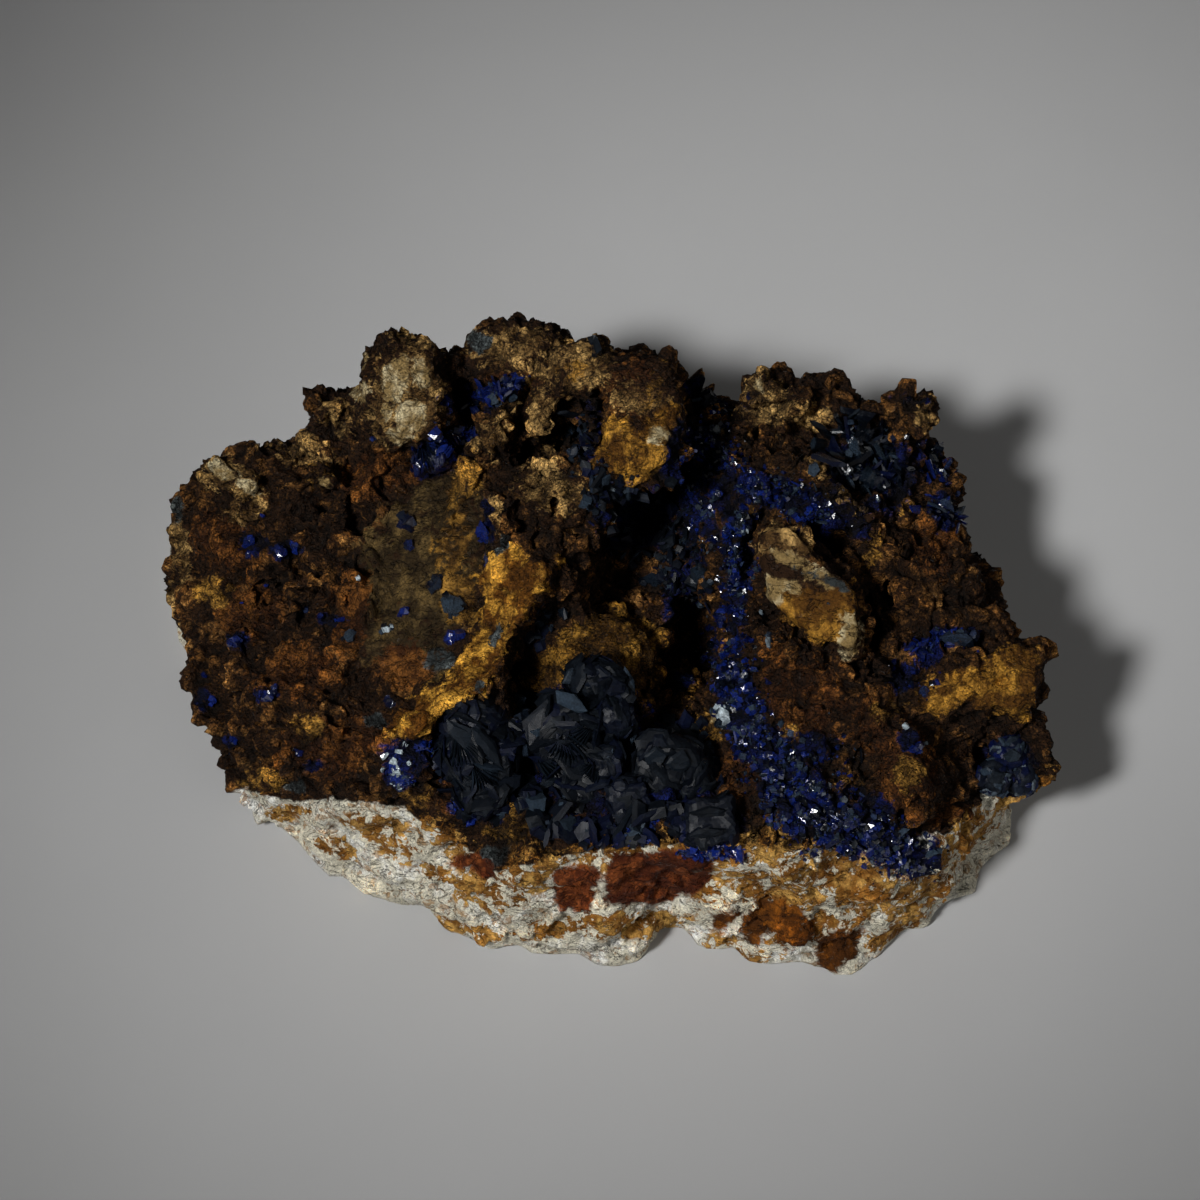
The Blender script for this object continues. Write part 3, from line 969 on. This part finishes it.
# Crusts: small crystals packed along lines of places. A line is (places, half width in mm, crystals per mm).
crusts = {
    "bandCrystals": {
        "node": "crust_band", "seed": 21, "size": (0.2, 1.2), "blades": 0.12, "tone": (0, 0.9), "film": 0.4,
        "rarity": 4.5, "sparse": -0.12,
        "lines": [
            ([(13.4, 34), (15, 29), (16.6, 24)], 3, 150), ([(16.6, 24), (17, 17), (15.8, 10)], 1.7, 120),
            ([(17.6, 27.4), (23, 26.4), (28.6, 22.6)], 2.2, 90), ([(11, 31), (12.4, 25), (12.6, 19)], 2, 20),
        ],
    },
    "slopeCrystals": {
        "node": "crust_slope", "seed": 22, "size": (0.2, 1.4), "blades": 0.12, "tone": (0, 0.9), "film": 0.4,
        "rarity": 4.5, "sparse": -0.12,
        "lines": [
            ([(15.8, 8), (16.4, 2), (18.6, -3), (22, -7), (27, -12), (32, -14.6), (39, -18)], 2.9, 140),
            ([(20, -8), (24, -13), (31, -15.6)], 3, 100), ([(27, -4), (30, -8)], 3, 20), ([(36, 5), (41, 3)], 1.8, 12),
        ],
    },
    "topCrystals": {
        "node": "crust_top", "seed": 23, "size": (0.4, 1.8), "blades": 0.4, "tone": (0.3, 0.9), "film": 0.2,
        "lines": [([(-20, 33.6), (-16, 34.4)], 1.4, 20), ([(-15.6, 38.6), (-12.6, 39), (-9.6, 40.6)], 1.2, 30)],
    },
    "rightCrystals": {
        "node": "crust_right", "seed": 24, "size": (1, 3.4), "blades": 0.8, "tone": (0, 0.3), "film": 0.35,
        "lines": [([(28.6, 31), (33, 29), (36.6, 29.6)], 2.6, 12), ([(30, 34.6), (36, 33)], 2, 9)],
    },
    "rimCrystals": {
        "node": "crust_rim", "seed": 25, "size": (0.5, 1.8), "blades": 0.5, "tone": (0.1, 0.7), "film": 0.2,
        "lines": [([(41, 32), (42.4, 28.6)], 1.5, 16), ([(40.4, 25.4), (44.4, 23.6)], 1.5, 18)],
    },
    "hollowCrystals": {
        "node": "crust_hollow", "seed": 26, "size": (0.4, 1.6), "blades": 0.5, "tone": (0.2, 0.9), "film": 0.2,
        "lines": [([(38.4, 7.2), (42, 9.2), (46.4, 8.6)], 1, 20)],
    },
    "vugCrystals": {
        "kind": "rose", "seed": 27, "size": (0.5, 2.1), "blades": 0.45, "tone": (0, 0.25), "film": 0.3,
        "lines": [
            ([(-1.6, 29), (4, 24.6), (11, 24)], 2.6, 16), ([(1, 21), (8, 20), (12, 20)], 2, 12),
            ([(7, 17), (12.6, 14.6)], 2.2, 9), ([(-2.4, 36), (-1.6, 30)], 1, 9),
            ([(12.6, 38.8), (15.4, 37)], 1.2, 8), ([(-6, 12), (-8.6, 8)], 1.4, 8),
        ],
    },
    "roseSkirt": {
        "kind": "rose", "seed": 28, "size": (1.2, 3.4), "blades": 0.2, "tone": (0, 0.3), "film": 0.3,
        "lines": [
            ([(-19, -3), (-16, -12), (-11, -11.4)], 1.6, 8),
            ([(-9.6, -9), (-7, -13.4), (-1, -14.6), (6, -14.4)], 1.3, 10),
            ([(5, -4), (12, -3.4), (13.6, -8.4)], 1.6, 8), ([(8, -11.4), (11, -15.4)], 1.6, 8),
            ([(-9.4, 1.6), (-10, -6)], 1.2, 8),
        ],
    },
    "fringeCrystals": {
        "seed": 29, "size": (0.4, 1.5), "blades": 0.4, "tone": (0.6, 1), "film": 0.05,
        "lines": [
            ([(-17.4, -11.4), (-13.6, -10.6), (-10.6, -9.2)], 0.9, 22), ([(-16.4, -12.8), (-14.6, -12.2)], 0.7, 14),
            ([(-21.8, -4.2), (-20.2, -5)], 0.9, 22), ([(0.6, -15.4), (6, -15.2)], 0.7, 14),
            ([(9.6, -17), (17, -17)], 0.7, 18), ([(5.8, -14.8), (6.6, -12.8)], 0.6, 12),
        ],
    },
}


def makeCrust(name, look, ground):
    chance = random.Random(look["seed"])
    heap = Heap()
    smallest, largest = look["size"]
    for line, halfWidth, density in look["lines"]:
        ends = [Vector(place) for place in line]
        steps = list(zip(ends, ends[1:]))
        total = sum((end - start).length for start, end in steps)
        for _ in range(int(total * density)):
            start, end = chance.choices(steps, [(b - a).length for a, b in steps])[0]
            middle = start.lerp(end, chance.random())
            across, up = middle.x + chance.gauss(0, halfWidth * 0.5), middle.y + chance.gauss(0, halfWidth * 0.5)
            clump = noise.fractal(Vector((across, up, look["seed"])) * 0.5, 1.0, 2.0, 3)
            point, normal = ground.at(across, up)
            if point is None or normal.dot(toViewer) < 0.05 or clump < look.get("sparse", -0.6):
                continue
            size = smallest + (largest - smallest) * chance.random() ** look.get("rarity", 3.2)
            growing = (normal + anyWay(chance) * 0.6).normalized()
            facing = growing.cross(anyWay(chance)).normalized()
            finish = (chance.uniform(*look["tone"]), chance.random() * (chance.random() < look["film"]))
            if chance.random() < look["blades"]:
                addBlade(
                    heap.part(), finish, point - growing * 0.2 * size * mm, growing, facing,
                    (size * 1.3, size * 0.8, size * 0.3), chance,
                )
            else:
                made = addPlate(
                    heap.part(), finish, point + growing * 0.05 * size * mm, anyWay(chance), facing,
                    (size, size * 0.8, size * 0.55), 5, 0.8,
                )
                wiggled(made, 0.06 * size, chance)
    finishCrystals(heap.gathered(), name, look.get("node"), look.get("kind", "crust"))


# Single crystals over the face: (across, up, length, width, turn, tone, film)
scattered = {
    "seed": 31,
    "places": [
        (-23.6, 23.1, 3.2, 2.6, -30, 0.25, 0.3), (-23.4, 20, 1.7, 2.2, 0, 0.5, 0.3),
        (-20.1, 15.3, 1.9, 3.1, -20, 0.2, 0.4), (-18.1, 12.6, 2.9, 4.2, 20, 0.1, 0.9),
        (-24.1, 12, 1.5, 1.5, 0, 0.8, 0.1), (-26.3, 9.8, 1.7, 1.5, 0, 0.2, 1.7), (-17.5, 8.9, 3.4, 2, 20, 0.7, 0.2),
        (-14.3, 21.4, 1.5, 4.8, 8, 0.7, 0.1), (-13.9, 18.2, 0.8, 2.6, 10, 0.6, 0.5),
        (-43.9, 20.9, 2.2, 1.6, 20, 0.7, 0.1), (-39.9, 19.4, 2, 1.7, -20, 0.6, 0.1),
        (-38, 20.2, 1.7, 1.5, 10, 0.7, 0.1), (-43.9, 18.9, 1.3, 1.5, 0, 0.6, 0.1),
        (-36.6, 12.3, 1.2, 1.2, 0, 0.4, 0.4), (-32, 10.9, 2, 1.3, 10, 0.7, 0.1), (-34.6, 11.4, 1.1, 1, 0, 0.6, 0.1),
        (-45.4, 8.4, 2, 1.5, 0, 0.7, 0.1), (-42.4, 24, 0.9, 0.7, 0, 0.9, 0), (-41.1, 1.5, 2.4, 1.7, 10, 0.6, 0.2),
        (-40.2, 2.6, 1.2, 1, 0, 0.7, 0.4), (-37, -5.4, 1.4, 1.2, 0, 0.6, 0.2), (-25.8, 0.9, 2.2, 2, -40, 0.3, 0.3),
        (-49.8, 4, 1, 1.2, 0, 0.6, 0.1), (-48.6, 0.9, 1.1, 1.6, 20, 0.9, 0), (-45.5, -4.1, 1.1, 1.6, 20, 0.8, 0.1),
        (-29.9, 16.1, 1, 1, 0, 0, 1.7), (-30.8, 9.1, 2.1, 1.9, 10, 0.2, 1), (-28.3, 33.4, 0.9, 0.8, 0, 0.8, 0.4),
        (-41.8, 15.2, 0.8, 0.7, 0, 0.9, 0), (-44.9, 13, 0.7, 0.6, 0, 0.9, 0), (9.9, 3.4, 3.8, 2.4, 8, 0.5, 0.4),
        (15.1, -0.8, 2.4, 3.6, 20, 0, 1.6), (6.8, 16.1, 3.6, 2.2, 5, 0.1, 0.4), (12.4, 16.5, 3.2, 3.2, 0, 0.1, 0.5),
        (14, 25.9, 0.5, 1.6, -20, 0.3, 1), (17.8, 22.1, 1.3, 1.3, 10, 0.2, 1.4), (19.5, 11.9, 0.7, 1.2, 10, 0.2, 1.2),
        (20.4, 8.4, 0.8, 2.6, 14, 0.2, 1.2), (34.9, 31.1, 1.8, 2.4, 10, 0, 0.9), (31.4, 31.5, 1.3, 6.6, 4, 0.1, 0.6),
        (33.4, 28.6, 2.6, 3.4, -10, 0.1, 0.4), (30, 29.6, 2.4, 2.8, 10, 0.2, 0.4), (34.2, 25.9, 0.7, 1, 0, 0.2, 1.2),
        (43.9, 8.6, 5.4, 2.3, -10, 0.3, 0.6), (37, -1.9, 1.1, 1.2, 0, 0, 1.4), (39.6, -4.1, 1, 0.9, 0, 0.2, 1.2),
        (38, -4.8, 2, 1.6, 10, 0.7, 0.2), (-6, -15.2, 2.4, 1, -34, 0.5, 0.6), (-3.3, 31.5, 1.4, 2.8, -30, 0.2, 0.5),
        (-3.9, 34.6, 1.3, 2.6, 10, 0.1, 0.6), (1.5, 27.2, 1.3, 1.6, 20, 0.1, 1.2),
        (14.4, 34.6, 1.8, 1.5, 0, 0.3, 1.2), (40.8, 29.8, 2.6, 3, 0, 0.1, 0.3), (26, -6.4, 1.2, 1, 0, 0.8, 0.2),
        (33.2, 4.6, 1.4, 1.1, 0, 0.5, 0.4), (44.4, 26.6, 1, 1, 0, 0.6, 0.4), (16.6, 39, 0.7, 0.7, 0, 0.1, 1.2),
        (9, 21.6, 1.6, 3.4, 30, 0.1, 0.5), (5.4, 24.6, 1.2, 3, -20, 0.1, 0.5), (3.4, 22, 2, 1.4, 10, 0.2, 0.6),
        (-4.6, 11.6, 1.4, 3, 10, 0.1, 0.4), (27.6, 13, 0.6, 0.5, 0, 0.2, 0.8), (-0.6, 44.4, 1.6, 4.4, 10, 0, 0.3),
    ],
}


def offGlare(facing):
    # turns a broad face that would mirror the light to the display side a little further down and right
    return (facing + rightward * 0.3 - upward * 0.22).normalized()


def makeScattered(ground):
    chance = random.Random(scattered["seed"])
    bm = newCrystals()
    for across, up, length, width, turn, tone, film in scattered["places"]:
        point, normal = ground.at(across, up)
        if point is None:
            print("no rock under the crystal at", across, up)
            continue
        size = (length * width) ** 0.5
        along = turnedTo(turn)
        facing = offGlare((normal * 0.6 + toViewer * 0.5 + anyWay(chance) * 0.35).normalized())
        made = addPlate(
            bm, (tone, film), point + facing * 0.12 * size * mm, facing, along,
            (length * 0.85, width * 0.85, size * 0.5), chance.choice((5, 6, 7)), 0.62,
        )
        wiggled(made, 0.07 * size, chance)
        for _ in range(4 if size > 1.2 else 1):
            aside = along * chance.uniform(-0.4, 0.4) * length
            beside = point + (aside + facing.cross(along) * chance.uniform(-0.4, 0.4) * width) * mm
            small = size * chance.uniform(0.35, 0.7)
            leaning = (facing + anyWay(chance) * 0.9).normalized()
            shade = (tone * chance.uniform(0.4, 1.3), film * chance.uniform(0.0, 1.2))
            made = addPlate(bm, shade, beside, leaning, anyWay(chance), (small, small * 0.8, small * 0.7), 6, 0.7)
            wiggled(made, 0.06 * small, chance)
    finishCrystals(bm, "scatteredCrystals")


azuriteColours = {
    "deep": (0.0026, 0.0062, 0.050),
    "royal": (0.006, 0.018, 0.150),
    "slate": (0.026, 0.040, 0.058),
    "pale": (0.46, 0.54, 0.58),
    "dust": (0.010, 0.014, 0.020),
}
refraction = 1.73


def azuriteMaterial(name, look):
    finish = Finish(name)
    cloud = finish.noise(1.4, 4, 0.6, 0.4)
    fine = finish.noise(0.25, 3, 0.6, 1.4)
    stripes = finish.noise(0.5, 2, 0.5, 4.4, 0.0, (1.0, 5.0, 5.0))
    tone, film = finish.mask("tone"), finish.mask("film")
    colour = finish.mix(finish.ramp(tone, 0.05, 0.6), look["black"], azuriteColours["deep"])
    colour = finish.mix(finish.ramp(tone, 0.45, 1.0), colour, azuriteColours["royal"])
    colour = finish.mix(finish.ramp(film, 0.1, 1.0), colour, azuriteColours["slate"])
    colour = finish.mix(finish.ramp(film, 1.0, 1.6), colour, azuriteColours["pale"])
    colour = finish.mix(finish.ramp(cloud, 0.50, 0.64, 0.0, 0.5), colour, azuriteColours["dust"])
    colour = finish.mix(1.0, colour, finish.ramp(fine, 0.3, 0.7, 0.6, 1.35), "MULTIPLY")
    finish.shade("Base Color", colour)
    finish.shade("Roughness", finish.ramp(cloud, 0.4, 0.7, *look["roughness"]))
    finish.shade("IOR", refraction)
    finish.shade("Specular IOR Level", look["specular"])
    normal = finish.bump(stripes, 0.3, 0.05)
    normal = finish.bump(finish.noise(0.5, 3, 0.5, 5.2), 0.2, 0.04, normal)
    finish.shade("Normal", normal)
    return finish.material


azurites = {
    "rose": azuriteMaterial(
        "azurite, dull", {"black": (0.0034, 0.0048, 0.0072), "roughness": (0.42, 0.58), "specular": 0.09}
    ),
    "crust": azuriteMaterial(
        "azurite, bright", {"black": (0.0014, 0.0022, 0.0040), "roughness": (0.10, 0.26), "specular": 0.5}
    ),
}
ground = Ground(rockPiece)
for name, look in roses.items():
    makeRose(name, look)
for name, look in crusts.items():
    makeCrust(name, look, ground)
makeScattered(ground)

# Studio: a pale floor, a soft key light on the left, a weak fill, and the camera.
studio = {
    "lens": 200,
    "sensor": 36,
    "distance": 0.833,
    "aim": (0, 13.4, 9.36),  # the place in the middle of the view
    "floor": 3.0,
    "floorColour": (0.47, 0.47, 0.47),
    "worldColour": (1.0, 0.98, 0.95),
    "worldStrength": 0.055,
    "key": {
        "place": (-0.34, -0.37, 0.70), "at": Vector((0.010, 0.015, 0.01)), "energy": 74, "radius": 0.11, "cone": 12.0,
        "blend": 1.0,
    },
    "fill": {"place": (0.52, -0.42, 0.42), "at": Vector((0, 0, 0.01)), "energy": 0.6, "size": 0.5},
}


def floorMaterial():
    finish = Finish("studio floor")
    grain = finish.noise(40, 4, 0.5, 0.2)
    tint = finish.ramp(grain, 0.3, 0.7, 0.97, 1.0)
    finish.shade("Base Color", finish.mix(1.0, studio["floorColour"], tint, "MULTIPLY"))
    finish.shade("Roughness", 0.9)
    finish.shade("Specular IOR Level", 0.1)
    return finish.material


def aimed(name, data, place, at):
    thing = bpy.data.objects.new(name, data)
    bpy.context.scene.collection.objects.link(thing)
    thing.location = place
    thing.rotation_euler = (Vector(place) - at).to_track_quat("Z", "Y").to_euler()
    return thing


def makeStudio():
    bm = bmesh.new()
    bmesh.ops.create_grid(bm, x_segments=1, y_segments=1, size=studio["floor"] / 2)
    floor = pieceFrom(bm, "floor")
    floor.data.materials.append(floorMaterial())
    middle = placeAt(*studio["aim"])
    camera = aimed("camera", bpy.data.cameras.new("camera"), middle + toViewer * studio["distance"], middle)
    camera.data.lens = studio["lens"]
    camera.data.sensor_width = studio["sensor"]
    scene = bpy.context.scene
    scene.camera = camera
    scene.view_settings.view_transform = "Standard"
    scene.world = bpy.data.worlds.new("studio")
    scene.world.use_nodes = True
    background = scene.world.node_tree.nodes["Background"].inputs
    background["Color"].default_value = (*studio["worldColour"], 1)
    background["Strength"].default_value = studio["worldStrength"]
    look = studio["key"]
    key = aimed("key", bpy.data.lights.new("key", "SPOT"), look["place"], look["at"])
    key.data.energy = look["energy"]
    key.data.shadow_soft_size = look["radius"]
    key.data.spot_size = radians(look["cone"])
    key.data.spot_blend = look["blend"]
    look = studio["fill"]
    fill = aimed("fill", bpy.data.lights.new("fill", "AREA"), look["place"], look["at"])
    fill.data.energy = look["energy"]
    fill.data.size = look["size"]


makeStudio()
